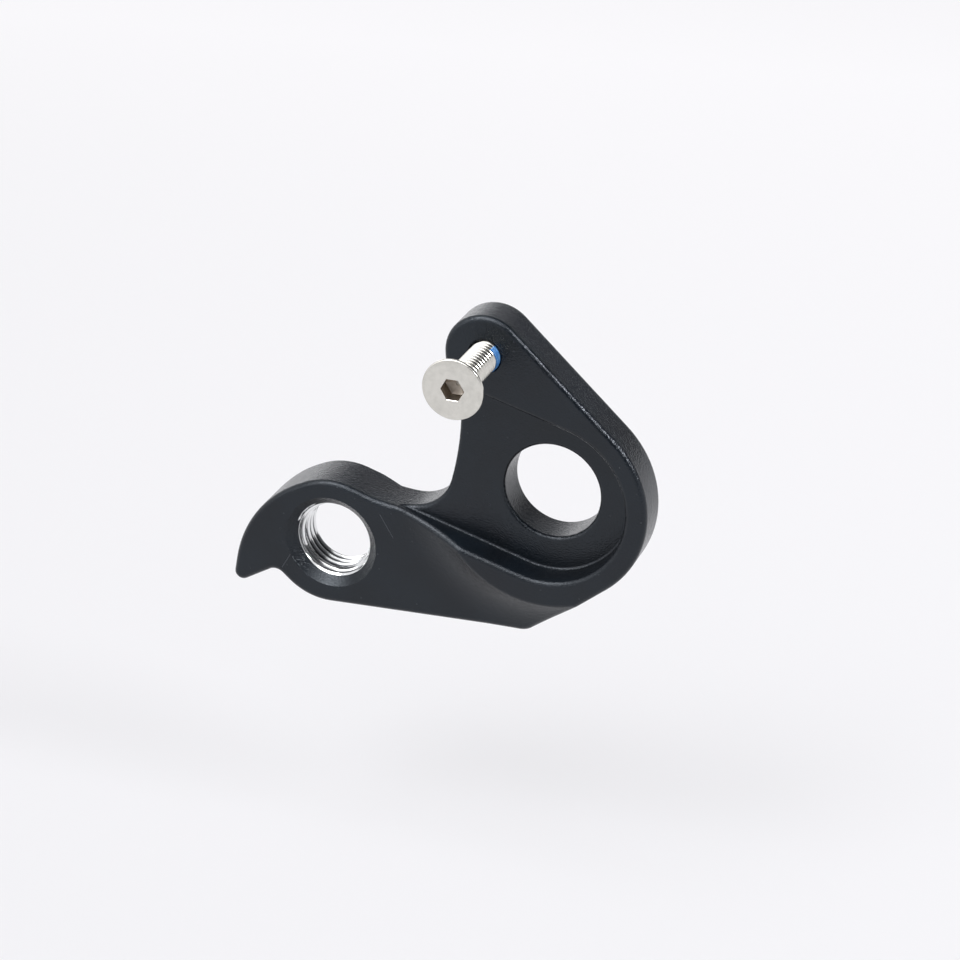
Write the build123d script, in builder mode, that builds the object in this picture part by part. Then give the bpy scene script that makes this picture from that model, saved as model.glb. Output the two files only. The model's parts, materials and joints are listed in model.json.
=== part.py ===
"""Bicycle derailleur hanger: one machined plate and its fixing screw.

Millimetres. Y runs along the axle, the wheel side faces -Y, X runs along the straight lower edge and
Z points up. The origin is on the axle's axis, on the floor of the hub seat.
"""
import math
import os

from build123d import *

os.makedirs("parts", exist_ok=True)

# Levels along the axle, from the wheel side to the frame side
RIM_Y = -4.0
ARM_Y = -1.25
SEAT_Y = 0.0
FLANGE_Y = 2.0
BACK_Y = 5.0
PAD_Y = 6.0

# Axle hole and the open-ended seat of the hub's end cap
AXLE_AT = (0.0, 0.0)
AXLE_R = 6.3
SEAT_R = 10.7
SEAT_ANGLE = -18.5
RING_R = 13.57

# Derailleur thread, modelled as a plain bore at the thread's full diameter
THREAD_AT = (-30.15, -10.7)
THREAD_R = 5.05
THREAD_LEAD_R = 6.35
PAD_R = 8.4
PAD_FOOT_R = 10.4

# Fixing screw, M4 with a countersunk head, and its tapped hole
SCREW_AT = (-6.9, 19.0)
SCREW_R = 1.95
SCREW_CLEARANCE = 0.1
SCREW_LENGTH = 16.0
SCREW_OUT = 11.0
HEAD_R = 3.88
HEAD_EDGE = 0.45
HEAD_ROUND = 0.15
SOCKET_AF = 2.6
SOCKET_DEPTH = 1.9
SOCKET_POINT = 0.7
SOCKET_EDGE = 0.1
SOCKET_TURN = -1.8
TIP_CHAMFER = 0.55

# Edge breaks and small radii
EDGE_RADIUS = 0.7
AXLE_EDGE_RADIUS = 0.55
BACK_EDGE_RADIUS = 0.5
FLANGE_EDGE_RADIUS = 1.0
FLOOR_RADIUS = 0.35
SEAT_EDGE = 0.7
OPEN_EDGE_RADIUS = 0.6
FINE_EDGE = 0.2

# Cove between the ring and the arm, swept round the axle
CREASE_GAP = 0.43
CREASE_R = RING_R + CREASE_GAP
COVE_RADIUS = 11.5

# Boss on the frame side
BOSS_R = 10.9

# Straight lower edge, with the corner under the axle and the heel under the thread
LOWER_Z = -19.5
CORNER_X = -4.29
CORNER_R = 2.64
HEEL_X = -30.75
HEEL_R = 8.48

# Lobe round the screw and the end of the arm round the thread
LOBE_AT = (-7.0, 18.97)
LOBE_R = 5.2
ARM_END_AT = (-30.17, -10.7)
ARM_END_R = 8.63

# Throat under the lobe, hollow top of the arm and the foot between them
THROAT_R = 40.0
THROAT_TURN = math.radians(182.7)
THROAT_STRAIGHT = 5.56
HOLLOW_R = 18.95
HOLLOW_TURN = math.radians(70.0)
HOLLOW_STRAIGHT = 2.24
FOOT_R = 6.0

# Stop tab: its outer curve, its tip and the notch under it
TAB_R = 16.8
TAB_TURN = math.radians(112.1)
TAB_STRAIGHT = 0.53
TIP_R = 1.11
TIP_TURN = math.radians(167.7)
TIP_STRAIGHT = 1.88
NOTCH_R = 1.56
NOTCH_TURN = math.radians(-133.8)
NOTCH_STRAIGHT = 1.19


def after(at, radius, turn, straight, next_radius):
    """Centre of the arc that follows a known one, left at the angle turn, by a straight edge.

    Radii are negative where the edge is hollow, and straight where the arc comes before the known one.
    """
    reach = radius - next_radius
    x = at[0] + reach * math.cos(turn) - straight * math.sin(turn)
    z = at[1] + reach * math.sin(turn) + straight * math.cos(turn)
    return x, z


def between(first_at, first_radius, second_at, second_radius, radius):
    """Centre of the arc that touches two larger hollow arcs from inside, right of the way between them."""
    first_reach = first_radius - radius
    second_reach = second_radius - radius
    dx, dz = second_at[0] - first_at[0], second_at[1] - first_at[1]
    span = math.hypot(dx, dz)
    along = (span**2 + first_reach**2 - second_reach**2) / (2 * span)
    across = -math.sqrt(first_reach**2 - along**2)
    x = first_at[0] + (along * dx - across * dz) / span
    z = first_at[1] + (along * dz + across * dx) / span
    return x, z


HEEL_AT = (HEEL_X, LOWER_Z + HEEL_R)
THROAT_AT = after(LOBE_AT, LOBE_R, THROAT_TURN, THROAT_STRAIGHT, -THROAT_R)
HOLLOW_AT = after(ARM_END_AT, ARM_END_R, HOLLOW_TURN, -HOLLOW_STRAIGHT, -HOLLOW_R)
FOOT_AT = between(THROAT_AT, THROAT_R, HOLLOW_AT, HOLLOW_R, FOOT_R)
TAB_AT = after(ARM_END_AT, ARM_END_R, TAB_TURN, TAB_STRAIGHT, TAB_R)
TIP_AT = after(TAB_AT, TAB_R, TIP_TURN, TIP_STRAIGHT, TIP_R)
NOTCH_AT = after(HEEL_AT, HEEL_R, NOTCH_TURN, -NOTCH_STRAIGHT, -NOTCH_R)

# Outline as arcs in counter-clockwise order: centre and radius, negative where the edge is hollow.
# Each arc runs into the next along their common tangent, or touches it where that would be too short.
SHORTEST_EDGE = 0.01
OUTLINE = [
    (AXLE_AT, RING_R),
    (LOBE_AT, LOBE_R),
    (THROAT_AT, -THROAT_R),
    (FOOT_AT, -FOOT_R),
    (HOLLOW_AT, -HOLLOW_R),
    (ARM_END_AT, ARM_END_R),
    (TAB_AT, TAB_R),
    (TIP_AT, TIP_R),
    (NOTCH_AT, -NOTCH_R),
    (HEEL_AT, HEEL_R),
    ((CORNER_X, LOWER_Z + CORNER_R), CORNER_R),
]


def tangent(first, second):
    """Ends of the common tangent from one arc of the outline to the next."""
    (x1, z1), r1 = first
    (x2, z2), r2 = second
    span = math.hypot(x2 - x1, z2 - z1)
    turn = math.atan2(z2 - z1, x2 - x1) + math.acos(max(-1.0, min(1.0, (r2 - r1) / span)))
    nx, nz = math.cos(turn), math.sin(turn)
    start, end = (x1 - r1 * nx, z1 - r1 * nz), (x2 - r2 * nx, z2 - r2 * nz)
    return (start, end) if math.dist(start, end) > SHORTEST_EDGE else (start, start)


def arc_middle(arc, start, end):
    """Point halfway along one arc of the outline, between its two tangent points."""
    (cx, cz), radius = arc
    a0 = math.atan2(start[1] - cz, start[0] - cx)
    a1 = math.atan2(end[1] - cz, end[0] - cx)
    sweep = (a1 - a0) % (2 * math.pi) if radius > 0 else -((a0 - a1) % (2 * math.pi))
    middle = a0 + sweep / 2
    return cx + abs(radius) * math.cos(middle), cz + abs(radius) * math.sin(middle)


def level(y):
    """Plane parallel to the plate at height y, drawn on from the wheel side."""
    return Plane(origin=(0, y, 0), x_dir=(1, 0, 0), z_dir=(0, -1, 0))


seat_turn = math.radians(SEAT_ANGLE)
open_way = (-math.cos(seat_turn), -math.sin(seat_turn))
seat_reach = math.dist(AXLE_AT, ARM_END_AT) + ARM_END_R
seat_middle = (open_way[0] * seat_reach / 2, open_way[1] * seat_reach / 2)
cove_rise = ARM_Y - RIM_Y
cove_run = math.sqrt(COVE_RADIUS**2 - (COVE_RADIUS - cove_rise) ** 2)
cove_half = math.atan2(cove_run, COVE_RADIUS - cove_rise) / 2
tangents = [tangent(arc, OUTLINE[(i + 1) % len(OUTLINE)]) for i, arc in enumerate(OUTLINE)]


def off_seat(point):
    """Distance of a point from the middle line of the hub seat."""
    along = -(point.X * open_way[0] + point.Z * open_way[1])
    across = point.X * open_way[1] - point.Z * open_way[0]
    return math.hypot(along, across) if along > 0 else abs(across)


def on_wheel_side(edge):
    """Whether an edge runs round the outside of the wheel side, between the ring's level and the arm's."""
    middle = edge @ 0.5
    radius = math.hypot(middle.X, middle.Z)
    if not RIM_Y - 0.01 < middle.Y < ARM_Y + 0.01:
        return False
    if abs((edge % 0.5).Y) > 0.99:
        return False
    if abs(middle.Y - RIM_Y) < 0.01 and abs(radius - CREASE_R) < 0.02:
        return False
    if math.hypot(middle.X - THREAD_AT[0], middle.Z - THREAD_AT[1]) < THREAD_R + 0.02:
        return False
    if math.hypot(middle.X - SCREW_AT[0], middle.Z - SCREW_AT[1]) < SCREW_R + SCREW_CLEARANCE + 0.02:
        return False
    return abs(radius - CREASE_R - cove_run) > 0.02 or abs(middle.Y - ARM_Y) > 0.01


def edges_at(y):
    """Edges of the hanger that lie in the plane at height y."""
    return [e for e in hanger.edges() if max(abs((e @ t).Y - y) for t in (0.0, 0.5, 1.0)) < 0.01]


def round_hole(edge):
    """Whether an edge is the rim of one of the three holes."""
    middle = edge.center(CenterOf.BOUNDING_BOX)
    holes = (AXLE_AT, THREAD_AT, SCREW_AT)
    closed = (edge @ 0 - edge @ 1).length < 0.01
    return closed and min(math.hypot(middle.X - x, middle.Z - z) for x, z in holes) < 0.05


def hole_ends(at, radius, y=None):
    """Rims of the hole at one place, at both ends or at the level y."""
    rims = [e for e in hanger.edges() if round_hole(e) and abs(e.length / (2 * math.pi) - radius) < 0.01]
    rims = [e for e in rims if y is None or abs((e @ 0).Y - y) < 0.01]
    return [e for e in rims if abs(math.hypot((e @ 0).X - at[0], (e @ 0).Z - at[1]) - radius) < 0.01]


with BuildSketch() as outline:
    with BuildLine():
        for i, arc in enumerate(OUTLINE):
            start = tangents[i - 1][1]
            end = tangents[i][0]
            ThreePointArc(start, arc_middle(arc, start, end), end)
            if tangents[i][0] != tangents[i][1]:
                Line(*tangents[i])
    make_face()

# Pad round the derailleur thread on the frame side, turned and then cut to the outline
with BuildPart() as pad:
    with BuildSketch(level(PAD_Y)):
        add(outline.sketch)
    extrude(amount=PAD_Y - SEAT_Y)
    fillet(pad.edges().group_by(Axis.Y)[-1], BACK_EDGE_RADIUS)
    with BuildSketch(Plane(origin=(THREAD_AT[0], 0, THREAD_AT[1]), x_dir=(1, 0, 0), z_dir=(0, 0, 1))):
        with BuildLine():
            Polyline((0, PAD_Y), (0, SEAT_Y), (PAD_FOOT_R, SEAT_Y), (PAD_FOOT_R, BACK_Y - BACK_EDGE_RADIUS))
            Line((PAD_FOOT_R, BACK_Y - BACK_EDGE_RADIUS), (PAD_R, PAD_Y))
            Line((PAD_R, PAD_Y), (0, PAD_Y))
        make_face()
    revolve(axis=Axis((THREAD_AT[0], 0, THREAD_AT[1]), (0, 1, 0)), mode=Mode.INTERSECT)

# Cutter of the open-ended seat, with the floor's radius and the rounded edge at the ring's level
with BuildPart() as seat:
    with BuildSketch(level(SEAT_Y)):
        Circle(SEAT_R)
        with Locations(Location((*seat_middle, 0), (0, 0, 1), SEAT_ANGLE)):
            Rectangle(seat_reach, 2 * SEAT_R)
    extrude(amount=SEAT_Y - RIM_Y + 1)
    fillet(seat.edges().group_by(Axis.Y)[-1], FLOOR_RADIUS)
    brim_plane = Plane(
        origin=(0, 0, 0),
        x_dir=(-open_way[1], 0, open_way[0]),
        z_dir=(-open_way[0], 0, -open_way[1]),
    )
    with BuildSketch(brim_plane) as brim:
        with BuildLine():
            bend = SEAT_EDGE * (1 - math.sqrt(0.5))
            ThreePointArc(
                (SEAT_R, RIM_Y + SEAT_EDGE), (SEAT_R + bend, RIM_Y + bend), (SEAT_R + SEAT_EDGE, RIM_Y)
            )
            Polyline(
                (SEAT_R + SEAT_EDGE, RIM_Y),
                (SEAT_R + SEAT_EDGE, RIM_Y - 1),
                (SEAT_R - 1, RIM_Y - 1),
                (SEAT_R - 1, RIM_Y + SEAT_EDGE),
                (SEAT_R, RIM_Y + SEAT_EDGE),
            )
        make_face()
        mirror(about=Plane.YZ)
    extrude(amount=-seat_reach)
    revolve(brim.sketch.faces(), axis=Axis((0, 0, 0), (0, 1, 0)), revolution_arc=180)

with BuildPart() as hanger:
    # Plate, with the flange's back
    with BuildSketch(level(FLANGE_Y)):
        add(outline.sketch)
    extrude(amount=FLANGE_Y - RIM_Y)
    fillet(edges_at(FLANGE_Y), FLANGE_EDGE_RADIUS)

    # Frame side: a boss round the axle that runs into the arm
    with BuildSketch(level(BACK_Y)):
        with Locations(THREAD_AT):
            Circle(18)
        Circle(BOSS_R)
        make_hull()
        add(outline.sketch, mode=Mode.INTERSECT)
    extrude(amount=BACK_Y - SEAT_Y)
    fillet(edges_at(BACK_Y), BACK_EDGE_RADIUS)
    add(pad.part)

    # Wheel side of the arm, with the cove that climbs to the ring
    cove_plane = Plane(
        origin=(0, 0, 0),
        x_dir=(open_way[0], 0, open_way[1]),
        z_dir=(-open_way[1], 0, open_way[0]),
    )
    with BuildSketch(cove_plane):
        with BuildLine():
            foot = (CREASE_R + cove_run, ARM_Y)
            middle = (
                foot[0] - COVE_RADIUS * math.sin(cove_half),
                ARM_Y - COVE_RADIUS * (1 - math.cos(cove_half)),
            )
            ThreePointArc((CREASE_R, RIM_Y), middle, foot)
            Polyline(foot, (60, ARM_Y), (60, RIM_Y - 1), (CREASE_R, RIM_Y - 1), (CREASE_R, RIM_Y))
        make_face()
    revolve(axis=Axis((0, 0, 0), (0, -1, 0)), revolution_arc=180, mode=Mode.SUBTRACT)

    # Rounded edge of the wheel side: ring, cove and arm
    fillet([e for e in hanger.edges() if on_wheel_side(e)], EDGE_RADIUS)

    # Open-ended seat of the hub's end cap
    add(seat.part, mode=Mode.SUBTRACT)

    # Axle hole, derailleur thread with its lead-in, and the screw's hole
    with BuildSketch(level(PAD_Y)):
        Circle(AXLE_R)
        with Locations(THREAD_AT):
            Circle(THREAD_R)
        with Locations(SCREW_AT):
            Circle(SCREW_R + SCREW_CLEARANCE)
    extrude(amount=PAD_Y - RIM_Y, mode=Mode.SUBTRACT)

    # Edges of the seat's open end and of the holes
    floor_edges = [e for e in edges_at(SEAT_Y) if not round_hole(e)]
    mouth = [e for e in floor_edges if off_seat(e @ 0.5) < SEAT_R - FLOOR_RADIUS - 0.005]
    fillet(mouth, OPEN_EDGE_RADIUS)
    fillet(hole_ends(AXLE_AT, AXLE_R, SEAT_Y), AXLE_EDGE_RADIUS)
    chamfer(hole_ends(AXLE_AT, AXLE_R, BACK_Y), FINE_EDGE)
    chamfer(hole_ends(THREAD_AT, THREAD_R), THREAD_LEAD_R - THREAD_R)
    chamfer(hole_ends(SCREW_AT, SCREW_R + SCREW_CLEARANCE), FINE_EDGE)

hanger.part.label = "hanger"
export_step(hanger.part, "parts/hanger.step")


# Fixing screw, turned from the head to the tip
head_y = RIM_Y - SCREW_OUT
cone_end = HEAD_EDGE + HEAD_R - SCREW_R
with BuildPart() as fixing_screw:
    with BuildSketch(Plane(origin=(SCREW_AT[0], head_y, SCREW_AT[1]), x_dir=(1, 0, 0), z_dir=(0, 0, 1))):
        with BuildLine():
            Polyline(
                (0, 0),
                (HEAD_R, 0),
                (HEAD_R, HEAD_EDGE),
                (SCREW_R, cone_end),
                (SCREW_R, SCREW_LENGTH - TIP_CHAMFER),
                (SCREW_R - TIP_CHAMFER, SCREW_LENGTH),
                (0, SCREW_LENGTH),
                close=True,
            )
        make_face()
    revolve(axis=Axis((SCREW_AT[0], 0, SCREW_AT[1]), (0, 1, 0)))
    fillet(fixing_screw.edges().filter_by(GeomType.CIRCLE).group_by(Axis.Y)[0], HEAD_ROUND)

    # Hexagon socket with a drilled point below it
    with BuildSketch(level(head_y)):
        with Locations(SCREW_AT):
            RegularPolygon(SOCKET_AF / 2, 6, major_radius=False, rotation=SOCKET_TURN)
    extrude(amount=-SOCKET_DEPTH, mode=Mode.SUBTRACT)
    with Locations((SCREW_AT[0], head_y + SOCKET_DEPTH + SOCKET_POINT / 2, SCREW_AT[1])):
        Cone(SOCKET_AF / 2, 0, SOCKET_POINT, rotation=(-90, 0, 0), mode=Mode.SUBTRACT)
    chamfer(fixing_screw.edges().filter_by(GeomType.LINE).group_by(Axis.Y)[0], SOCKET_EDGE)

fixing_screw.part.label = "fixing_screw"
export_step(fixing_screw.part, "parts/fixing_screw.step")
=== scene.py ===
"""Bicycle derailleur hanger: blasted and anodised plate, cut threads and a steel fixing screw.

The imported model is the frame. Y runs along the axle, the wheel side faces -Y and Z points up. Sizes are
in millimetres until they reach Blender, which works in metres.
"""
import json
import logging
import math
from dataclasses import dataclass
from enum import Enum
from typing import Any

import bmesh
import bpy
from mathutils import Matrix, Vector


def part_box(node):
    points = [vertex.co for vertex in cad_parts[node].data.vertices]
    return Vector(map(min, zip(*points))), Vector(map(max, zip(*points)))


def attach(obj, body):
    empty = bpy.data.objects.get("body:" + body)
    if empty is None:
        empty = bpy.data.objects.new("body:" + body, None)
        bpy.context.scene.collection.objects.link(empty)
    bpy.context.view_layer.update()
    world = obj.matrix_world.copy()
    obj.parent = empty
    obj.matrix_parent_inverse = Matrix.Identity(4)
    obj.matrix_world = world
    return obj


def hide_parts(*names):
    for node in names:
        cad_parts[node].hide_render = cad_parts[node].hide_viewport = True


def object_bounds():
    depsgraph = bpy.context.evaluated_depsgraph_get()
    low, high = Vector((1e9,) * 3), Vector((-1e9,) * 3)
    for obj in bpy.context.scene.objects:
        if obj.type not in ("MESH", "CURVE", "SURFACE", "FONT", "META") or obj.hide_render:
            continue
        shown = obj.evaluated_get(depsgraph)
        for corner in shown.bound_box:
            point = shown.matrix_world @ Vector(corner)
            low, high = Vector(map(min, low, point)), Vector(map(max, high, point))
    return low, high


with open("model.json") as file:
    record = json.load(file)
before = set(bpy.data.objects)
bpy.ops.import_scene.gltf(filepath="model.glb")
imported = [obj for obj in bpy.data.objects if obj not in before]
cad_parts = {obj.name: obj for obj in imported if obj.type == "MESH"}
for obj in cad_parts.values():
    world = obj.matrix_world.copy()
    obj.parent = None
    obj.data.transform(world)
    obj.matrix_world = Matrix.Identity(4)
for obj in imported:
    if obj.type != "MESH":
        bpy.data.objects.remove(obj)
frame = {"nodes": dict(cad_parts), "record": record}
CAD_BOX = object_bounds()

MM = 0.001
# Points closer together than this are one, in millimetres
WELD = 0.0005
BODY = "root"
log = logging.getLogger("hanger")


class ThreadSide(Enum):
    """Which way a thread's ridges stand: towards the axis in a hole, away from it on a screw."""

    HOLE = -1.0
    SCREW = 1.0


class Slot(Enum):
    """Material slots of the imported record."""

    ALUMINIUM = "anodised_aluminium"
    STEEL = "stainless_steel"


def linear(code: str) -> tuple[float, float, float, float]:
    """Turn an sRGB hex colour into linear light.

    Args:
        code: Colour as #rrggbb.

    Returns:
        Linear red, green and blue, and an alpha of 1.
    """
    shares = [int(code[i : i + 2], 16) / 255 for i in (1, 3, 5)]
    light = [c / 12.92 if c <= 0.04045 else ((c + 0.055) / 1.055) ** 2.4 for c in shares]
    return light[0], light[1], light[2], 1.0


def per_metre(size_mm: float) -> float:
    """Texture scale at which one cell of a pattern is size_mm wide."""
    return 1.0 / (size_mm * MM)


def add_node(
    tree: bpy.types.NodeTree,
    kind: str,
    inputs: dict[str | int, Any] | None = None,
    **settings: Any,
) -> bpy.types.Node:
    """Add a node with its settings, values and links.

    Args:
        tree: Tree that gets the node.
        kind: Blender's name of the node type.
        inputs: For each input, by name or place, a value or the output that feeds it.
        settings: Properties of the node itself.

    Returns:
        The new node.
    """
    node = tree.nodes.new(kind)
    for name, value in settings.items():
        setattr(node, name, value)
    for key, value in (inputs or {}).items():
        if isinstance(value, bpy.types.NodeSocket):
            tree.links.new(value, node.inputs[key])
        else:
            node.inputs[key].default_value = value
    return node


def new_material(name: str) -> tuple[bpy.types.Material, bpy.types.NodeTree]:
    """Make an empty node material.

    Args:
        name: Name of the material.

    Returns:
        The material and its node tree.
    """
    material = bpy.data.materials.new(name)
    material.use_nodes = True
    material.node_tree.nodes.clear()
    return material, material.node_tree


def close_mesh(mesh: bpy.types.Mesh, sharp_angle: float) -> None:
    """Weld a mesh, drop loose edges, turn its faces outwards and shade it smooth up to an angle.

    Args:
        mesh: Mesh that is changed.
        sharp_angle: Edges that turn by more than this stay sharp, in degrees.
    """
    work = bmesh.new()
    work.from_mesh(mesh)
    bmesh.ops.remove_doubles(work, verts=work.verts, dist=WELD * MM)
    bmesh.ops.dissolve_degenerate(work, edges=work.edges, dist=WELD * MM)
    loose = [edge for edge in work.edges if not edge.link_faces]
    bmesh.ops.delete(work, geom=loose, context="EDGES")
    bmesh.ops.recalc_face_normals(work, faces=work.faces)
    work.to_mesh(mesh)
    work.free()
    mesh.shade_smooth()
    mesh.set_sharp_from_angle(angle=math.radians(sharp_angle))


def join(name: str, meshes: list[bpy.types.Mesh]) -> bpy.types.Mesh:
    """Join closed meshes into one mesh that keeps their materials and shading.

    Args:
        name: Name of the new mesh.
        meshes: Meshes in the row frame.

    Returns:
        The joined mesh.
    """
    objects = []
    for mesh in meshes:
        item = bpy.data.objects.new(mesh.name, mesh)
        bpy.context.scene.collection.objects.link(item)
        objects.append(item)
    with bpy.context.temp_override(
        active_object=objects[0], selected_editable_objects=objects, selected_objects=objects
    ):
        bpy.ops.object.join()
    mesh = objects[0].data
    mesh.name = name
    bpy.data.objects.remove(objects[0])
    return mesh


def show(name: str, mesh: bpy.types.Mesh) -> bpy.types.Object:
    """Put a finished mesh in the scene as a piece that rides on the part.

    Args:
        name: Name of the piece.
        mesh: Mesh in the row frame.

    Returns:
        The piece's object.
    """
    piece = bpy.data.objects.new(name, mesh)
    bpy.context.scene.collection.objects.link(piece)
    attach(piece, BODY)
    return piece


@dataclass(frozen=True)
class BlastedAnodising:
    """Aluminium that was blasted with fine beads and anodised black.

    The dyed oxide is a dark, clear skin over dimpled metal: charcoal on flat faces, pale where it is seen
    at a low angle, and broken into bright specks wherever an edge catches a light. The wheel side has a few
    hairlines, each given by X and Z of its two ends, and specks of dust. A spread is the two values of a
    pattern between which it goes from none to full.
    """

    dark: str = "#060a10"
    pale: str = "#0b1219"
    shine: str = "#eef6ff"
    # Fine beads leave smaller dimples, which are drawn this coarse so that they show in the render
    dimple: float = 0.21
    dimple_depth: float = 0.07
    dimple_spread: tuple[float, float] = (0.3, 0.7)
    cloud: float = 6.0
    cloud_spread: tuple[float, float] = (0.35, 0.65)
    roughness: tuple[float, float] = (0.14, 0.25)
    index: float = 1.47
    hairlines: tuple[tuple[float, float, float, float], ...] = (
        (-35.86, -10.58, -35.88, -13.05),
        (-35.88, -13.05, -37.3, -15.3),
        (-22.95, -5.78, -21.3, -8.82),
    )
    hairline_width: float = 0.06
    mark: str = "#44474b"
    dust: float = 2.6
    dust_size: float = 0.08
    dust_rarity: float = 0.5
    worn_facing: float = 0.9

    def hairline(
        self, tree: bpy.types.NodeTree, flat: bpy.types.NodeSocket, ends: tuple[float, float, float, float]
    ) -> bpy.types.NodeSocket:
        """Add nodes for one straight hairline.

        Args:
            tree: Tree that gets the nodes.
            flat: X and Z of each point.
            ends: X and Z of the hairline's two ends, in millimetres.

        Returns:
            Weight of the hairline, from 0 to 1.
        """
        x0, z0, x1, z1 = ends
        start = Vector((x0, z0, 0.0)) * MM
        way = Vector((x1 - x0, z1 - z0, 0.0)) * MM
        off = add_node(
            tree, "ShaderNodeVectorMath", {0: flat, 1: start}, operation="SUBTRACT"
        ).outputs[0]
        share = add_node(
            tree,
            "ShaderNodeVectorMath",
            {0: off, 1: way / way.length_squared},
            operation="DOT_PRODUCT",
        ).outputs["Value"]
        share = add_node(tree, "ShaderNodeMapRange", {0: share}).outputs[0]
        along = add_node(
            tree, "ShaderNodeVectorMath", {0: way, "Scale": share}, operation="SCALE"
        ).outputs[0]
        gap = add_node(
            tree, "ShaderNodeVectorMath", {0: off, 1: along}, operation="DISTANCE"
        ).outputs["Value"]
        half = self.hairline_width / 2 * MM
        return add_node(
            tree, "ShaderNodeMapRange", {0: gap, 1: half, 2: 2 * half, 3: 1.0, 4: 0.0}
        ).outputs[0]

    def marks(self, tree: bpy.types.NodeTree, place: bpy.types.NodeSocket) -> bpy.types.NodeSocket:
        """Add nodes for the wear on the wheel side: a few hairlines and specks of dust.

        Args:
            tree: Tree that gets the nodes.
            place: Place of each point.

        Returns:
            Weight of the marks, from 0 to 1.
        """
        parts = add_node(tree, "ShaderNodeSeparateXYZ", {0: place}).outputs
        flat = add_node(tree, "ShaderNodeCombineXYZ", {0: parts["X"], 1: parts["Z"]}).outputs[0]
        cells = add_node(
            tree,
            "ShaderNodeTexVoronoi",
            {"Vector": flat, "Scale": per_metre(self.dust)},
            voronoi_dimensions="2D",
        ).outputs
        speck = add_node(
            tree,
            "ShaderNodeMath",
            {0: cells["Distance"], 1: self.dust_size / self.dust},
            operation="LESS_THAN",
        ).outputs[0]
        chance = add_node(tree, "ShaderNodeSeparateColor", {0: cells["Color"]}).outputs[0]
        rare = add_node(tree, "ShaderNodeMapRange", {0: chance, 1: self.dust_rarity, 2: 1.0}).outputs[0]
        worn = add_node(tree, "ShaderNodeMath", {0: speck, 1: rare}, operation="MULTIPLY").outputs[0]
        for ends in self.hairlines:
            line = self.hairline(tree, flat, ends)
            worn = add_node(tree, "ShaderNodeMath", {0: worn, 1: line}, operation="MAXIMUM").outputs[0]
        normal = add_node(tree, "ShaderNodeNewGeometry").outputs["Normal"]
        facing = add_node(tree, "ShaderNodeSeparateXYZ", {0: normal}).outputs["Y"]
        front = add_node(
            tree, "ShaderNodeMath", {0: facing, 1: -self.worn_facing}, operation="LESS_THAN"
        ).outputs[0]
        return add_node(tree, "ShaderNodeMath", {0: worn, 1: front}, operation="MULTIPLY").outputs[0]

    def material(self) -> bpy.types.Material:
        """Build the material.

        Returns:
            The material.
        """
        material, tree = new_material("black_anodised_blasted_aluminium")
        place = add_node(tree, "ShaderNodeTexCoord").outputs["Object"]
        dimples = add_node(
            tree,
            "ShaderNodeTexNoise",
            {"Vector": place, "Scale": per_metre(self.dimple), "Detail": 1.5, "Roughness": 0.6},
        ).outputs["Fac"]
        clouds = add_node(
            tree,
            "ShaderNodeTexNoise",
            {"Vector": place, "Scale": per_metre(self.cloud), "Detail": 3.0},
        ).outputs["Fac"]
        low, high = self.cloud_spread
        cover = add_node(tree, "ShaderNodeMapRange", {0: clouds, 1: low, 2: high}).outputs[0]
        colour = add_node(
            tree,
            "ShaderNodeMix",
            {0: cover, 6: linear(self.dark), 7: linear(self.pale)},
            data_type="RGBA",
        ).outputs[2]
        marked = self.marks(tree, place)
        colour = add_node(
            tree, "ShaderNodeMix", {0: marked, 6: colour, 7: linear(self.mark)}, data_type="RGBA"
        ).outputs[2]
        low, high = self.dimple_spread
        matt = add_node(
            tree,
            "ShaderNodeMapRange",
            {0: dimples, 1: low, 2: high, 3: self.roughness[0], 4: self.roughness[1]},
        ).outputs[0]
        relief = add_node(
            tree,
            "ShaderNodeBump",
            {"Strength": 1.0, "Distance": self.dimple_depth * MM, "Height": dimples},
        ).outputs[0]
        surface = add_node(
            tree,
            "ShaderNodeBsdfPrincipled",
            {
                "Base Color": colour,
                "Roughness": matt,
                "Normal": relief,
                "IOR": self.index,
                "Specular Tint": linear(self.shine),
            },
        ).outputs[0]
        add_node(tree, "ShaderNodeOutputMaterial", {"Surface": surface})
        return material


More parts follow.
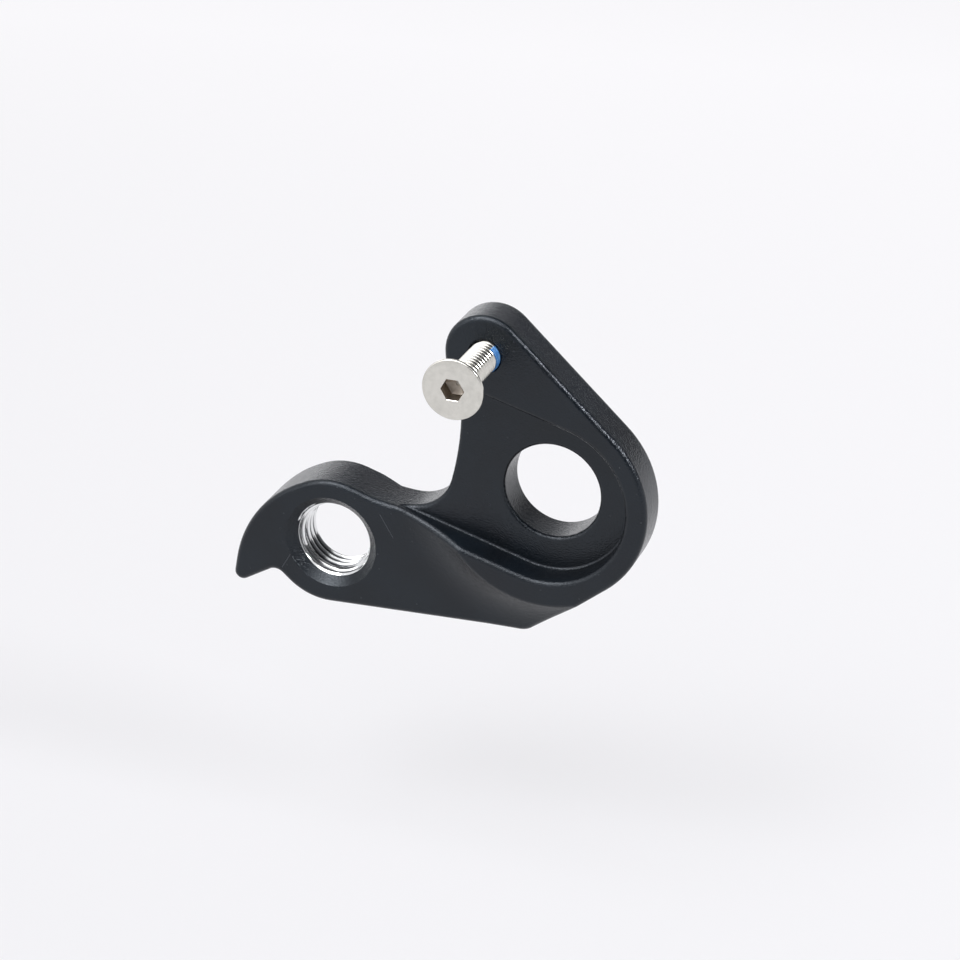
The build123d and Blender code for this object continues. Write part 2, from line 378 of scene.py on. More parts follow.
@dataclass(frozen=True)
class CutMetal:
    """Bare metal with fine lines from the tool that cut it round an axis along Y.

    It mirrors its surroundings softly, and the lines spread each reflection across them. A groove gets
    painted shade, its colour darkened towards the bottom: the radii of its mouth, its bottom and its end.
    The lead is
    where a thread opens towards its end: Y of that end, Y where the opening stops, and how far the ridges
    are cut back there.
    """

    name: str
    base: str
    shade: str
    centre: tuple[float, float]
    roughness: tuple[float, float]
    line: float = 0.05
    line_depth: float = 0.0015
    blotch: float = 0.9
    blotch_spread: tuple[float, float] = (0.35, 0.75)
    wear_spread: tuple[float, float] = (0.1, 0.4)
    # Colour of the painted shade in the grooves
    groove_shade_colour: str = "#3c3e42"
    groove: tuple[float, float, float] | None = None
    lead: tuple[float, float, float] = (0.0, 1.0, 0.0)

    def material(self) -> bpy.types.Material:
        """Build the material.

        Returns:
            The material.
        """
        material, tree = new_material(self.name)
        place = add_node(tree, "ShaderNodeTexCoord").outputs["Object"]
        moved = add_node(
            tree,
            "ShaderNodeVectorMath",
            {0: place, 1: (self.centre[0] * MM, 0.0, self.centre[1] * MM)},
            operation="SUBTRACT",
        ).outputs[0]
        flat = add_node(
            tree,
            "ShaderNodeVectorMath",
            {0: moved, 1: (1.0, 0.0, 1.0)},
            operation="MULTIPLY",
        ).outputs[0]
        radius = add_node(tree, "ShaderNodeVectorMath", {0: flat}, operation="LENGTH").outputs["Value"]
        depth = add_node(tree, "ShaderNodeSeparateXYZ", {0: moved}).outputs["Y"]
        swept = add_node(tree, "ShaderNodeCombineXYZ", {0: radius, 1: depth}).outputs[0]
        lines = add_node(
            tree,
            "ShaderNodeTexNoise",
            {"Vector": swept, "Scale": per_metre(self.line), "Detail": 2.0},
        ).outputs["Fac"]
        blotches = add_node(
            tree,
            "ShaderNodeTexNoise",
            {"Vector": place, "Scale": per_metre(self.blotch), "Detail": 4.0, "Roughness": 0.6},
        ).outputs["Fac"]
        low, high = self.blotch_spread
        cover = add_node(tree, "ShaderNodeMapRange", {0: blotches, 1: low, 2: high}).outputs[0]
        colour = add_node(
            tree,
            "ShaderNodeMix",
            {0: cover, 6: linear(self.base), 7: linear(self.shade)},
            data_type="RGBA",
        ).outputs[2]
        # Painted shade: the grooves are coloured darker from their mouth to their bottom, where the thread
        # shades itself
        if self.groove:
            mouth, bottom, end = (size * MM for size in self.groove)
            first, last, wide = (size * MM for size in self.lead)
            opened = add_node(
                tree, "ShaderNodeMapRange", {0: depth, 1: first, 2: last, 3: wide, 4: 0.0}
            ).outputs[0]
            below = add_node(
                tree, "ShaderNodeMath", {0: radius, 1: opened}, operation="SUBTRACT"
            ).outputs[0]
            deep = add_node(tree, "ShaderNodeMapRange", {0: below, 1: mouth, 2: bottom}).outputs[0]
            inside = add_node(tree, "ShaderNodeMath", {0: radius, 1: end}, operation="LESS_THAN").outputs[0]
            painted_shade = add_node(tree, "ShaderNodeMath", {0: deep, 1: inside}, operation="MULTIPLY").outputs[0]
            colour = add_node(
                tree, "ShaderNodeMix", {0: painted_shade, 6: colour, 7: linear(self.groove_shade_colour)}, data_type="RGBA"
            ).outputs[2]
        worn = add_node(tree, "ShaderNodeMath", {0: lines, 1: blotches}, operation="MULTIPLY").outputs[0]
        low, high = self.wear_spread
        matt = add_node(
            tree,
            "ShaderNodeMapRange",
            {0: worn, 1: low, 2: high, 3: self.roughness[0], 4: self.roughness[1]},
        ).outputs[0]
        relief = add_node(
            tree,
            "ShaderNodeBump",
            {"Strength": 0.6, "Distance": self.line_depth * MM, "Height": lines},
        ).outputs[0]
        surface = add_node(
            tree,
            "ShaderNodeBsdfPrincipled",
            {"Base Color": colour, "Metallic": 1.0, "Roughness": matt, "Normal": relief},
        ).outputs[0]
        add_node(tree, "ShaderNodeOutputMaterial", {"Surface": surface})
        return material


@dataclass(frozen=True)
class ThreadLock:
    """Dried thread-locking coat, a dull blue plastic film that fills part of the thread."""

    deep: str = "#2f6fb4"
    thin: str = "#6f9fd0"
    patch: float = 0.4
    patch_spread: tuple[float, float] = (0.35, 0.7)
    patch_depth: float = 0.02
    roughness: float = 0.55

    def material(self) -> bpy.types.Material:
        """Build the material.

        Returns:
            The material.
        """
        material, tree = new_material("blue_thread_lock_film")
        place = add_node(tree, "ShaderNodeTexCoord").outputs["Object"]
        patches = add_node(
            tree,
            "ShaderNodeTexNoise",
            {"Vector": place, "Scale": per_metre(self.patch), "Detail": 3.0},
        ).outputs["Fac"]
        low, high = self.patch_spread
        cover = add_node(tree, "ShaderNodeMapRange", {0: patches, 1: low, 2: high}).outputs[0]
        colour = add_node(
            tree,
            "ShaderNodeMix",
            {0: cover, 6: linear(self.deep), 7: linear(self.thin)},
            data_type="RGBA",
        ).outputs[2]
        relief = add_node(
            tree,
            "ShaderNodeBump",
            {"Strength": 0.5, "Distance": self.patch_depth * MM, "Height": patches},
        ).outputs[0]
        surface = add_node(
            tree,
            "ShaderNodeBsdfPrincipled",
            {"Base Color": colour, "Roughness": self.roughness, "Normal": relief},
        ).outputs[0]
        add_node(tree, "ShaderNodeOutputMaterial", {"Surface": surface})
        return material


@dataclass
class Thread:
    """One right-hand thread, cut in a hole or on a screw, as a closed sleeve of true helical ridges.

    The sleeve runs along Y from start to end. Its ridges and grooves follow the helix, a cone trims the
    ridges at each end, and its plain side is hidden in the metal that carries it. The lead slope is that of
    the cone at the start and the trim slope that of the one at the end, as radius over depth. Each lip is a
    place where the cut reaches further out over the countersink: its angle, its reach and its half width in
    degrees. A sector keeps the sleeve to one side: its middle angle and its half width.
    """

    name: str
    side: ThreadSide
    centre: tuple[float, float]
    start: float
    end: float
    pitch: float
    groove_radius: float
    ridge_radius: float
    end_radius: float
    plain_radius: float
    metal: bpy.types.Material
    columns: int
    turn: float = 0.0
    lips: tuple[tuple[float, float, float], ...] = ()
    sector: tuple[float, float] | None = None
    trim_slope: float = 1.0
    lead_slope: float = 1.0
    groove_flat: float = 0.125
    ridge_flat: float = 0.25
    rows_per_pitch: int = 16
    sector_edge: float = 12.0
    sharp_angle: float = 24.0

    def sizes(self) -> dict[str, float]:
        """Sizes that the node tree takes as inputs, by name."""
        return {
            "Start": self.start,
            "End": self.end,
            "Pitch": self.pitch,
            "Groove Radius": self.groove_radius,
            "Ridge Radius": self.ridge_radius,
            "End Radius": self.end_radius,
            "Plain Radius": self.plain_radius,
        }

    def bell(
        self, tree: bpy.types.NodeTree, angle: bpy.types.NodeSocket, turn: float, full: float, none: float
    ) -> bpy.types.NodeSocket:
        """Add nodes for a bell-shaped weight round the axis.

        Args:
            tree: Tree that gets the nodes.
            angle: Angle of each point round the axis, in radians.
            turn: Angle of the bell's middle, in degrees.
            full: Half width over which the weight is 1, in degrees.
            none: Half width beyond which the weight is 0, in degrees.

        Returns:
            Weight of each point.
        """
        off = add_node(
            tree, "ShaderNodeMath", {0: angle, 1: math.radians(turn)}, operation="SUBTRACT"
        ).outputs[0]
        near = add_node(tree, "ShaderNodeMath", {0: off}, operation="COSINE").outputs[0]
        limits = (math.cos(math.radians(none)), math.cos(math.radians(full)))
        return add_node(
            tree,
            "ShaderNodeMapRange",
            {0: near, 1: limits[0], 2: limits[1]},
            interpolation_type="SMOOTHSTEP",
        ).outputs[0]

    def tree(self) -> tuple[bpy.types.NodeTree, dict[str, str]]:
        """Build the node tree that bends a flat grid into the sleeve.

        Returns:
            Geometry node tree, whose inputs are the thread's sizes in metres, and each input's identifier.
        """
        tree = bpy.data.node_groups.new(self.name + "_tree", "GeometryNodeTree")
        tree.interface.new_socket("Geometry", in_out="INPUT", socket_type="NodeSocketGeometry")
        sockets: dict[str, str] = {}
        for name in self.sizes():
            socket = tree.interface.new_socket(name, in_out="INPUT", socket_type="NodeSocketFloat")
            sockets[name] = socket.identifier
        socket = tree.interface.new_socket("Centre", in_out="INPUT", socket_type="NodeSocketVector")
        sockets["Centre"] = socket.identifier
        tree.interface.new_socket("Geometry", in_out="OUTPUT", socket_type="NodeSocketGeometry")
        sizes = add_node(tree, "NodeGroupInput").outputs

        # A grid of one unit, whose width goes round the axis and whose height runs along the helix.
        # One row before the ridges and two behind them make the plain side and close the sleeve.
        turns = math.ceil((self.end - self.start) / self.pitch) + 1
        rows = turns * self.rows_per_pitch + 3
        grid = add_node(
            tree,
            "GeometryNodeMeshGrid",
            {"Size X": 1.0, "Size Y": 1.0, "Vertices X": self.columns + 1, "Vertices Y": rows + 1},
        )
        spot = add_node(
            tree,
            "ShaderNodeSeparateXYZ",
            {0: add_node(tree, "GeometryNodeInputPosition").outputs[0]},
        ).outputs
        share = add_node(tree, "ShaderNodeMath", {0: spot["X"], 1: 0.5}, operation="ADD").outputs[0]
        row = add_node(
            tree,
            "ShaderNodeMath",
            {0: spot["Y"], 1: rows, 2: rows / 2},
            operation="MULTIPLY_ADD",
        ).outputs[0]

        # Depth of each point: rows climb with the helix and stop at the two ends
        lap = add_node(
            tree,
            "ShaderNodeMath",
            {0: row, 1: 1.0 / self.rows_per_pitch, 2: -1.0 / self.rows_per_pitch},
            operation="MULTIPLY_ADD",
        ).outputs[0]
        lap = add_node(tree, "ShaderNodeMath", {0: lap, 1: share}, operation="SUBTRACT").outputs[0]
        climb = add_node(
            tree,
            "ShaderNodeMath",
            {0: lap, 1: sizes["Pitch"], 2: sizes["Start"]},
            operation="MULTIPLY_ADD",
        ).outputs[0]
        angle = add_node(tree, "ShaderNodeMath", {0: share, 1: math.tau}, operation="MULTIPLY").outputs[0]
        front = sizes["Start"]
        for turn, reach, half in self.lips:
            lip = self.bell(tree, angle, turn, 0.0, half)
            front = add_node(
                tree, "ShaderNodeMath", {0: lip, 1: -reach * MM, 2: front}, operation="MULTIPLY_ADD"
            ).outputs[0]
        depth = add_node(tree, "ShaderNodeClamp", {0: climb, 1: front, 2: sizes["End"]}).outputs[0]
        closing = add_node(
            tree, "ShaderNodeMath", {0: row, 1: rows - 0.5}, operation="GREATER_THAN"
        ).outputs[0]
        depth = add_node(tree, "ShaderNodeMapRange", {0: closing, 3: depth, 4: front}).outputs[0]

        # Thread form: a ridge and a groove in each pitch, with flats on both and straight flanks between
        from_start = add_node(
            tree, "ShaderNodeMath", {0: depth, 1: sizes["Start"]}, operation="SUBTRACT"
        ).outputs[0]
        to_end = add_node(
            tree, "ShaderNodeMath", {0: sizes["End"], 1: depth}, operation="SUBTRACT"
        ).outputs[0]
        passed = add_node(
            tree, "ShaderNodeMath", {0: from_start, 1: sizes["Pitch"]}, operation="DIVIDE"
        ).outputs[0]
        passed = add_node(tree, "ShaderNodeMath", {0: passed, 1: share}, operation="ADD").outputs[0]
        passed = add_node(tree, "ShaderNodeMath", {0: passed, 1: self.turn}, operation="ADD").outputs[0]
        phase = add_node(tree, "ShaderNodeMath", {0: passed, 1: 0.5}, operation="PINGPONG").outputs[0]
        form = add_node(
            tree,
            "ShaderNodeMapRange",
            {
                0: phase,
                1: self.groove_flat / 2,
                2: 0.5 - self.ridge_flat / 2,
                3: sizes["Groove Radius"],
                4: sizes["Ridge Radius"],
            },
        ).outputs[0]

        # The cone at each end cuts back the ridges, and lips follow the countersink beyond the start
        side = self.side.value
        lead = add_node(
            tree, "ShaderNodeMath", {0: from_start, 1: self.lead_slope}, operation="MULTIPLY"
        ).outputs[0]
        lead = add_node(tree, "ShaderNodeMath", {0: lead, 1: from_start}, operation="MINIMUM").outputs[0]
        tail = add_node(
            tree, "ShaderNodeMath", {0: to_end, 1: self.trim_slope}, operation="MULTIPLY"
        ).outputs[0]
        near = add_node(tree, "ShaderNodeMath", {0: lead, 1: tail}, operation="MINIMUM").outputs[0]
        cone = add_node(
            tree,
            "ShaderNodeMath",
            {0: near, 1: side, 2: sizes["End Radius"]},
            operation="MULTIPLY_ADD",
        ).outputs[0]
        trim = "MINIMUM" if self.side is ThreadSide.SCREW else "MAXIMUM"
        trimmed = add_node(tree, "ShaderNodeMath", {0: form, 1: cone}, operation=trim).outputs[0]
        before = add_node(tree, "ShaderNodeMath", {0: row, 1: 0.5}, operation="LESS_THAN").outputs[0]
        behind = add_node(
            tree, "ShaderNodeMath", {0: row, 1: rows - 1.5}, operation="GREATER_THAN"
        ).outputs[0]
        plain = add_node(tree, "ShaderNodeMath", {0: before, 1: behind}, operation="MAXIMUM").outputs[0]
        if self.sector:
            kept = self.bell(tree, angle, self.sector[0], self.sector[1], self.sector[1] + self.sector_edge)
            gone = add_node(tree, "ShaderNodeMath", {0: 1.0, 1: kept}, operation="SUBTRACT").outputs[0]
            plain = add_node(tree, "ShaderNodeMath", {0: plain, 1: gone}, operation="MAXIMUM").outputs[0]
        radius = add_node(
            tree, "ShaderNodeMapRange", {0: plain, 3: trimmed, 4: sizes["Plain Radius"]}
        ).outputs[0]

        # Wrapped round the axis and welded along the seam
        cosine = add_node(tree, "ShaderNodeMath", {0: angle}, operation="COSINE").outputs[0]
        sine = add_node(tree, "ShaderNodeMath", {0: angle}, operation="SINE").outputs[0]
        across = add_node(tree, "ShaderNodeMath", {0: radius, 1: cosine}, operation="MULTIPLY").outputs[0]
        upward = add_node(tree, "ShaderNodeMath", {0: radius, 1: sine}, operation="MULTIPLY").outputs[0]
        wrapped = add_node(tree, "ShaderNodeCombineXYZ", {0: across, 1: depth, 2: upward}).outputs[0]
        placed = add_node(
            tree, "ShaderNodeVectorMath", {0: wrapped, 1: sizes["Centre"]}, operation="ADD"
        ).outputs[0]
        sleeve = add_node(
            tree, "GeometryNodeSetPosition", {"Geometry": grid.outputs["Mesh"], "Position": placed}
        ).outputs[0]
        welded = add_node(
            tree, "GeometryNodeMergeByDistance", {"Geometry": sleeve, "Distance": WELD * MM}
        ).outputs[0]
        solid = add_node(tree, "GeometryNodeRealizeInstances", {"Geometry": welded}).outputs[0]
        cut = add_node(
            tree, "GeometryNodeSetMaterial", {"Geometry": solid, "Material": self.metal}
        ).outputs[0]
        add_node(tree, "NodeGroupOutput", {"Geometry": cut})
        return tree, sockets

    def mesh(self) -> bpy.types.Mesh:
        """Make the sleeve's mesh.

        Returns:
            Closed mesh in the row frame, with the cut metal's finish.
        """
        blank = bpy.data.objects.new(self.name + "_blank", bpy.data.meshes.new(self.name + "_blank"))
        bpy.context.scene.collection.objects.link(blank)
        modifier = blank.modifiers.new("thread", "NODES")
        modifier.node_group, sockets = self.tree()
        for name, size in self.sizes().items():
            modifier[sockets[name]] = size * MM
        modifier[sockets["Centre"]] = (self.centre[0] * MM, 0.0, self.centre[1] * MM)
        view = bpy.context.evaluated_depsgraph_get()
        mesh = bpy.data.meshes.new_from_object(blank.evaluated_get(view))
        mesh.name = self.name
        blank.modifiers.clear()
        bpy.data.objects.remove(blank)
        close_mesh(mesh, self.sharp_angle)
        return mesh


@dataclass
class Plate:
    """The hanger's plate, as packed, with the derailleur's thread cut in its arm.

    The thread's lead opens towards the wheel side. Its run-out is where the first turn breaks through the
    countersink: an inner and an outer reach over the cone, and a sector. Painted shade darkens the grooves,
    and its mouth, bottom and end are measured from the root.
    """

    anodising: bpy.types.Material
    thread_pitch: float = 1.0
    thread_crest: float = 4.46
    thread_root: float = 5.04
    thread_turn: float = -0.17
    thread_trim: float = 2.2
    thread_lead: float = 0.38
    thread_columns: int = 144
    thread_lips: tuple[tuple[float, float, float], ...] = ((-80.0, 0.22, 75.0),)
    run_out: tuple[float, float] = (0.1, 0.27)
    run_out_sector: tuple[float, float] = (137.0, 18.0)
    run_out_columns: int = 288
    # Painted shade in the grooves: its mouth, bottom and end, measured from the root
    shade_mouth: float = 0.46
    shade_bottom: float = 0.3
    shade_end: float = 0.02
    sleeve_wall: float = 0.6
    sleeve_proud: float = 0.06

    def dress(self) -> bpy.types.Object:
        """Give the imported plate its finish.

        Returns:
            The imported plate's object.
        """
        node = frame["nodes"]["hanger"]
        for slot in node.material_slots:
            slot.material = self.anodising
        return node

    def cut_thread(self) -> bpy.types.Object:
        """Build the derailleur's thread in its bore.

        Returns:
            The thread's object.
        """
        mount = next(m for m in frame["record"]["mounts"] if m["name"] == "derailleur_thread")
        middle = Vector(mount["pos_m"]) / MM
        bore = mount["dims"]["r_mm"]
        half = mount["dims"]["length_mm"] / 2
        mouth = middle.y - half
        mouth_radius = bore - self.sleeve_proud
        opened = mouth_radius - self.thread_crest
        metal = CutMetal(
            name="bare_cut_aluminium",
            base="#eceded",
            shade="#dddedf",
            centre=(middle.x, middle.z),
            roughness=(0.08, 0.16),
            blotch=2.5,
            line_depth=0.001,
            # Radii where the grooves get painted shade
            groove=(
                self.thread_root - self.shade_mouth,
                self.thread_root - self.shade_bottom,
                self.thread_root + self.shade_end,
            ),
            lead=(mouth, mouth + opened / self.thread_lead, opened),
        ).material()
        thread = Thread(
            name="derailleur_thread",
            side=ThreadSide.HOLE,
            centre=(middle.x, middle.z),
            start=mouth,
            end=middle.y + half,
            pitch=self.thread_pitch,
            groove_radius=self.thread_root,
            ridge_radius=self.thread_crest,
            end_radius=mouth_radius,
            plain_radius=bore + self.sleeve_wall,
            metal=metal,
            turn=self.thread_turn,
            lips=self.thread_lips,
            trim_slope=self.thread_trim,
            lead_slope=self.thread_lead,
            columns=self.thread_columns,
        )
        inner, outer = self.run_out
        run_out = Thread(
            name="derailleur_thread_run_out",
            side=ThreadSide.HOLE,
            centre=(middle.x, middle.z),
            start=mouth - outer,
            end=mouth + outer - 2 * inner,
            pitch=self.thread_pitch,
            groove_radius=self.thread_root,
            ridge_radius=self.thread_root,
            end_radius=mouth_radius + outer,
            plain_radius=bore + self.sleeve_wall,
            metal=metal,
            sector=self.run_out_sector,
            columns=self.run_out_columns,
        )
        mesh = join("derailleur_thread", [thread.mesh(), run_out.mesh()])
        return show("derailleur_thread", mesh)


@dataclass
class FixingScrew:
    """Countersunk M4 screw with a hexagon socket, a cut thread and a coat of thread lock."""

    neck_radius: float = 1.95
    head_edge: float = 0.45
    head_round: float = 0.15
    round_steps: int = 4
    face_radius: float = 3.02
    face_drop: float = 0.08
    socket_width: float = 2.6
    socket_depth: float = 1.9
    socket_point: float = 0.7
    socket_edge: float = 0.05
    socket_turn: float = -1.8
    pitch: float = 0.7
    crest: float = 1.96
    root: float = 1.56
    groove_flat: float = 0.2
    ridge_flat: float = 0.125
    tip_radius: float = 1.4
    lock_start: float = 10.0
    lock_end: float = 11.7
    lock_crest: float = 2.05
    lock_root: float = 1.97
    lock_sector: tuple[float, float] = (-8.0, 54.0)
    lock_bury: float = 0.1
    points: int = 96
    thread_columns: int = 72
    thread_rows: int = 10
    sharp_angle: float = 28.0

    def axis(self) -> tuple[float, float, float, float]:
        """Find the screw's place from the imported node.

        Returns:
            X and Z of its axis, Y of its head's face and Y of its tip.
        """
        low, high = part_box("fixing_screw")
        middle = (low + high) / 2 / MM
        return middle.x, middle.z, low.y / MM, high.y / MM

    def rim(self) -> float:
        """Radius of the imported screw's head."""
        low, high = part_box("fixing_screw")
        return (high.x - low.x) / 2 / MM

    def neck(self) -> float:
        """Depth of the neck below the head's face, at the end of the cone."""
        return self.head_edge + self.rim() - self.neck_radius

    def hexagon(self, width: float, angle: float) -> float:
        """Find how far a hexagon reaches in one direction.

        Args:
            width: Width across flats.
            angle: Direction, in radians.

        Returns:
            Distance from its middle to its edge.
        """
        sector = math.radians(60)
        off = (angle - math.radians(self.socket_turn)) % sector - sector / 2
        return width / 2 / math.cos(off)

    def head(self, steel: bpy.types.Material, punched: bpy.types.Material) -> bpy.types.Mesh:
        """Build the head with its socket, from the socket's point out to the neck.

        Args:
            steel: Finish of the head.
            punched: Finish of the socket.

        Returns:
            Closed mesh of the head.
        """
        x, z, face, _ = self.axis()
        rim = self.rim()
        neck = self.neck()
        flat = self.socket_width
        mouth = self.socket_width + 2 * self.socket_edge
        # Each ring is a radius or a width across flats, a depth below the face, and if it is six-sided
        rings: list[tuple[float, float, bool]] = [
            (flat, self.socket_depth, True),
            (flat, self.socket_edge, True),
            (mouth, 0.0, True),
            (self.face_radius, 0.0, False),
            (rim - self.head_round, self.face_drop, False),
        ]
        for step in range(1, self.round_steps + 1):
            bend = math.radians(90 * step / self.round_steps)
            out = rim - self.head_round * (1 - math.sin(bend))
            rings.append((out, self.face_drop + self.head_round * (1 - math.cos(bend)), False))
        rings += [(rim, self.head_edge, False), (self.neck_radius, neck, False), (self.root, neck, False)]

        work = bmesh.new()
        tip = work.verts.new((x * MM, (face + self.socket_depth + self.socket_point) * MM, z * MM))
        loops: list[list[bmesh.types.BMVert]] = []
        for size, depth, six_sided in rings:
            loop = []
            for i in range(self.points):
                angle = math.tau * i / self.points
                radius = self.hexagon(size, angle) if six_sided else size
                spot = Vector((x + radius * math.cos(angle), face + depth, z + radius * math.sin(angle)))
                loop.append(work.verts.new(spot * MM))
            loops.append(loop)
        for i in range(self.points):
            j = (i + 1) % self.points
            work.faces.new((tip, loops[0][i], loops[0][j])).material_index = 1
            for ring, (inner, outer) in enumerate(zip(loops, loops[1:])):
                face_out = work.faces.new((inner[i], outer[i], outer[j], inner[j]))
                face_out.material_index = 1 if ring == 0 else 0
        work.faces.new(loops[-1])
        mesh = bpy.data.meshes.new("fixing_screw_head")
        work.to_mesh(mesh)
        work.free()
        mesh.materials.append(steel)
        mesh.materials.append(punched)
        close_mesh(mesh, self.sharp_angle)
        return mesh

    def build(self) -> bpy.types.Object:
        """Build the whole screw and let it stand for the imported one.

        Returns:
            The screw's object.
        """
        x, z, face, tip = self.axis()
        steel = CutMetal(
            name="turned_stainless_steel",
            base="#d9d7d0",
            shade="#cdcbc4",
            centre=(x, z),
            roughness=(0.12, 0.26),
        ).material()
        shank = Thread(
            name="screw_shank",
            side=ThreadSide.SCREW,
            centre=(x, z),
            start=face + self.neck(),
            end=tip,
            pitch=self.pitch,
            groove_radius=self.root,
            ridge_radius=self.crest,
            end_radius=self.tip_radius,
            plain_radius=0.0,
            metal=steel,
            columns=self.thread_columns,
            groove_flat=self.groove_flat,
            ridge_flat=self.ridge_flat,
            rows_per_pitch=self.thread_rows,
        )
        lock = Thread(
            name="screw_lock",
            side=ThreadSide.SCREW,
            centre=(x, z),
            start=face + self.lock_start,
            end=face + self.lock_end,
            pitch=self.pitch,
            groove_radius=self.lock_root,
            ridge_radius=self.lock_crest,
            end_radius=self.lock_root,
            plain_radius=self.root - self.lock_bury,
            metal=ThreadLock().material(),
            sector=self.lock_sector,
            columns=self.thread_columns,
            rows_per_pitch=self.thread_rows,
        )
        punched = CutMetal(
            name="punched_stainless_steel",
            base="#aea59a",
            shade="#9a9187",
            centre=(x, z),
            roughness=(0.38, 0.5),
        ).material()
        parts = [self.head(steel, punched), shank.mesh(), lock.mesh()]
        screw = join("fixing_screw_threaded", parts)
        piece = show("fixing_screw_threaded", screw)
        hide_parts("fixing_screw")
        return piece


@dataclass(frozen=True)
class SoftBox:
    """Rectangular lamp that faces the object: its direction, distance and size, and its power in watts."""

    name: str
    towards: tuple[float, float, float]
    distance: float
    size: tuple[float, float]
    power: float


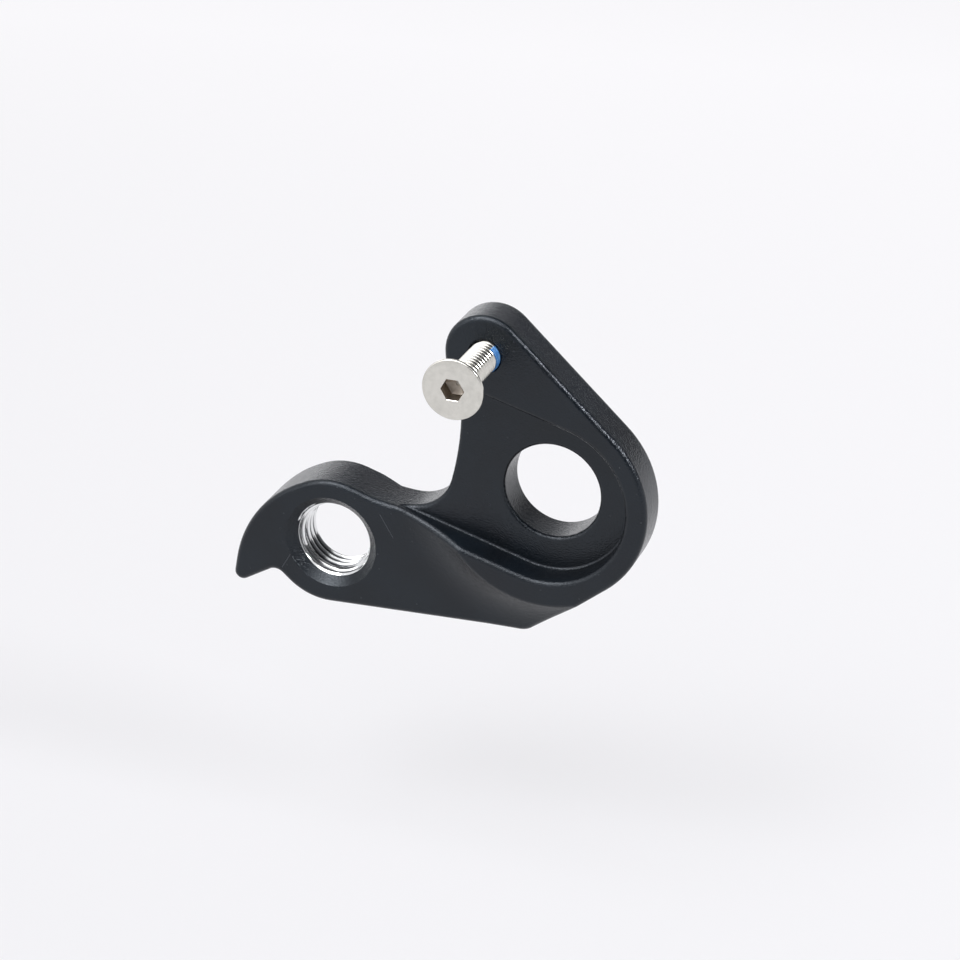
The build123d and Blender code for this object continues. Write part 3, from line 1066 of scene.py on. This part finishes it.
@dataclass
class Studio:
    """White studio: floor, surroundings, soft boxes and the camera.

    The dim corner behind on the right, the unlit opening round the camera and the unlit back of the ceiling
    are given by limits on a ray's direction, from none to full.
    """

    floor_drop: float = 34.0
    floor_size: float = 6000.0
    floor_white: str = "#fbfafc"
    floor_glow: tuple[float, float] = (0.57, 0.79)
    floor_depth: tuple[float, float] = (-40.0, 360.0)
    floor_far: tuple[float, float] = (520.0, 1300.0)
    floor_far_glow: float = 0.92
    floor_diffuse: str = "#8f8f92"
    surround: str = "#f8f8fb"
    side: str = "#8b8c8f"
    unlit: str = "#4c4d50"
    ambient: float = 0.25
    corner_right: tuple[float, float] = (0.05, 0.25)
    corner_above: tuple[float, float] = (-0.05, 0.1)
    corner_behind: tuple[float, float] = (0.0, 0.4)
    opening_way: tuple[float, float, float] = (0.4, -0.87, 0.29)
    opening: tuple[float, float] = (0.88, 0.93)
    ceiling_above: tuple[float, float] = (0.3, 0.7)
    ceiling_behind: tuple[float, float] = (0.42, 0.6)
    boxes: tuple[SoftBox, ...] = (
        SoftBox("overhead_box", (-0.1, -0.38, 0.92), 620.0, (620.0, 600.0), 3.1),
        SoftBox("overhead_core", (-0.33, -0.42, 0.85), 620.0, (260.0, 220.0), 1.0),
        SoftBox("left_box", (-0.62, -0.66, 0.42), 620.0, (380.0, 380.0), 0.6),
        SoftBox("right_box", (0.815, -0.15, 0.56), 600.0, (150.0, 150.0), 2.1),
        SoftBox("back_box", (-0.5, 0.86, 0.08), 700.0, (340.0, 200.0), 0.2),
    )
    lens: float = 105.0
    sensor: float = 36.0
    camera_at: tuple[float, float, float] = (106.568, -298.590, 147.434)
    camera_target: tuple[float, float, float] = (-9.55, 0.0, 0.37)
    camera_roll: float = -1.92

    def seen(self, tree: bpy.types.NodeTree) -> bpy.types.NodeSocket:
        """Add nodes that tell what is seen, straight or in a reflection, from what only gives light.

        Args:
            tree: Tree that gets the nodes.

        Returns:
            1 for rays that show the studio, 0 for rays that gather its light.
        """
        path = add_node(tree, "ShaderNodeLightPath").outputs
        shown = add_node(
            tree,
            "ShaderNodeMath",
            {0: path["Is Camera Ray"], 1: path["Is Glossy Ray"]},
            operation="MAXIMUM",
        ).outputs[0]
        return add_node(
            tree, "ShaderNodeMath", {0: shown, 1: path["Is Transmission Ray"]}, operation="MAXIMUM"
        ).outputs[0]

    def floor(self) -> bpy.types.Object:
        """Build the pale floor, which shows the object's shadow on white.

        Returns:
            The floor's object.
        """
        material, tree = new_material("white_paper_sweep")
        seen = self.seen(tree)
        spot = add_node(tree, "ShaderNodeTexCoord").outputs["Object"]
        back = add_node(tree, "ShaderNodeSeparateXYZ", {0: spot}).outputs["Y"]
        near, far = self.floor_depth
        glow = add_node(
            tree,
            "ShaderNodeMapRange",
            {0: back, 1: near * MM, 2: far * MM, 3: self.floor_glow[0], 4: self.floor_glow[1]},
        ).outputs[0]
        reach = add_node(tree, "ShaderNodeVectorMath", {0: spot}, operation="LENGTH").outputs["Value"]
        first, last = (size * MM for size in self.floor_far)
        away = add_node(tree, "ShaderNodeMapRange", {0: reach, 1: first, 2: last}).outputs[0]
        glow = add_node(tree, "ShaderNodeMix", {0: away, 2: glow, 3: self.floor_far_glow}).outputs[0]
        glow = add_node(tree, "ShaderNodeMath", {0: seen, 1: glow}, operation="MULTIPLY").outputs[0]
        light = add_node(
            tree, "ShaderNodeEmission", {"Color": linear(self.floor_white), "Strength": glow}
        ).outputs[0]
        paper = add_node(tree, "ShaderNodeBsdfDiffuse", {"Color": linear(self.floor_diffuse)}).outputs[0]
        surface = add_node(tree, "ShaderNodeAddShader", {0: light, 1: paper}).outputs[0]
        add_node(tree, "ShaderNodeOutputMaterial", {"Surface": surface})

        half = self.floor_size / 2 * MM
        level = CAD_BOX[0][2] - self.floor_drop * MM
        corners = [(-half, -half, level), (half, -half, level), (half, half, level), (-half, half, level)]
        mesh = bpy.data.meshes.new("floor")
        mesh.from_pydata(corners, [], [(0, 1, 2, 3)])
        mesh.materials.append(material)
        floor = bpy.data.objects.new("floor", mesh)
        bpy.context.scene.collection.objects.link(floor)
        return floor

    def surroundings(self) -> None:
        """Show white walls that are dim or dark in places to what mirrors them, and white to the camera."""
        world = bpy.data.worlds.new("white_room")
        world.use_nodes = True
        tree = world.node_tree
        tree.nodes.clear()
        ray = add_node(tree, "ShaderNodeTexCoord").outputs["Generated"]
        way = add_node(tree, "ShaderNodeSeparateXYZ", {0: ray}).outputs
        right, above, behind, high, far_back = (
            add_node(tree, "ShaderNodeMapRange", {0: way[axis], 1: limits[0], 2: limits[1]}).outputs[0]
            for axis, limits in (
                ("X", self.corner_right),
                ("Z", self.corner_above),
                ("Y", self.corner_behind),
                ("Z", self.ceiling_above),
                ("Y", self.ceiling_behind),
            )
        )
        aside = add_node(tree, "ShaderNodeMath", {0: right, 1: behind}, operation="MULTIPLY").outputs[0]
        corner = add_node(tree, "ShaderNodeMath", {0: aside, 1: above}, operation="MULTIPLY").outputs[0]
        walls = add_node(
            tree,
            "ShaderNodeMix",
            {0: corner, 6: linear(self.surround), 7: linear(self.side)},
            data_type="RGBA",
        ).outputs[2]
        facing = add_node(
            tree, "ShaderNodeVectorMath", {0: ray, 1: self.opening_way}, operation="DOT_PRODUCT"
        ).outputs["Value"]
        opening = add_node(
            tree, "ShaderNodeMapRange", {0: facing, 1: self.opening[0], 2: self.opening[1]}
        ).outputs[0]
        back = add_node(tree, "ShaderNodeMath", {0: far_back, 1: aside}, operation="MAXIMUM").outputs[0]
        ceiling = add_node(tree, "ShaderNodeMath", {0: high, 1: back}, operation="MULTIPLY").outputs[0]
        dark = add_node(tree, "ShaderNodeMath", {0: opening, 1: ceiling}, operation="MAXIMUM").outputs[0]
        colour = add_node(
            tree,
            "ShaderNodeMix",
            {0: dark, 6: walls, 7: linear(self.unlit)},
            data_type="RGBA",
        ).outputs[2]
        straight = add_node(tree, "ShaderNodeLightPath").outputs["Is Camera Ray"]
        colour = add_node(
            tree, "ShaderNodeMix", {0: straight, 6: colour, 7: linear(self.surround)}, data_type="RGBA"
        ).outputs[2]
        seen = self.seen(tree)
        level = add_node(tree, "ShaderNodeMapRange", {0: seen, 3: self.ambient, 4: 1.0}).outputs[0]
        shown = add_node(tree, "ShaderNodeBackground", {"Color": colour, "Strength": level}).outputs[0]
        add_node(tree, "ShaderNodeOutputWorld", {"Surface": shown})
        bpy.context.scene.world = world

    def lamp(self, box: SoftBox) -> bpy.types.Object:
        """Hang a soft box round the point that the camera looks at.

        Args:
            box: The soft box.

        Returns:
            The lamp's object.
        """
        light = bpy.data.lights.new(box.name, "AREA")
        light.shape = "RECTANGLE"
        light.size = box.size[0] * MM
        light.size_y = box.size[1] * MM
        light.energy = box.power
        lamp = bpy.data.objects.new(box.name, light)
        towards = Vector(box.towards)
        lamp.location = Vector(self.camera_target) * MM + towards.normalized() * box.distance * MM
        lamp.rotation_euler = towards.to_track_quat("Z", "Y").to_euler()
        bpy.context.scene.collection.objects.link(lamp)
        return lamp

    def camera(self) -> bpy.types.Object:
        """Set up the camera where the photograph was taken from.

        Returns:
            The camera's object.
        """
        data = bpy.data.cameras.new("camera")
        data.lens = self.lens
        data.sensor_width = self.sensor
        camera = bpy.data.objects.new("camera", data)
        sight = Vector(self.camera_target) - Vector(self.camera_at)
        turn = sight.to_track_quat("-Z", "Y").to_matrix() @ Matrix.Rotation(
            math.radians(self.camera_roll), 3, "Z"
        )
        camera.matrix_world = Matrix.Translation(Vector(self.camera_at) * MM) @ turn.to_4x4()
        bpy.context.scene.collection.objects.link(camera)
        bpy.context.scene.camera = camera
        return camera

    def build(self) -> None:
        """Build the studio."""
        bpy.context.scene.view_settings.view_transform = "Standard"
        self.floor()
        self.surroundings()
        for box in self.boxes:
            self.lamp(box)
        self.camera()


def main() -> None:
    """Build the studio, dress the plate and add its threads and screw."""
    logging.basicConfig(level=logging.INFO, format="%(name)s: %(message)s")
    Studio().build()
    plate = Plate(anodising=BlastedAnodising().material())
    for piece in (plate.dress(), plate.cut_thread(), FixingScrew().build()):
        log.info("%s: %d faces", piece.name, len(piece.data.polygons))


if __name__ == "__main__":
    main()
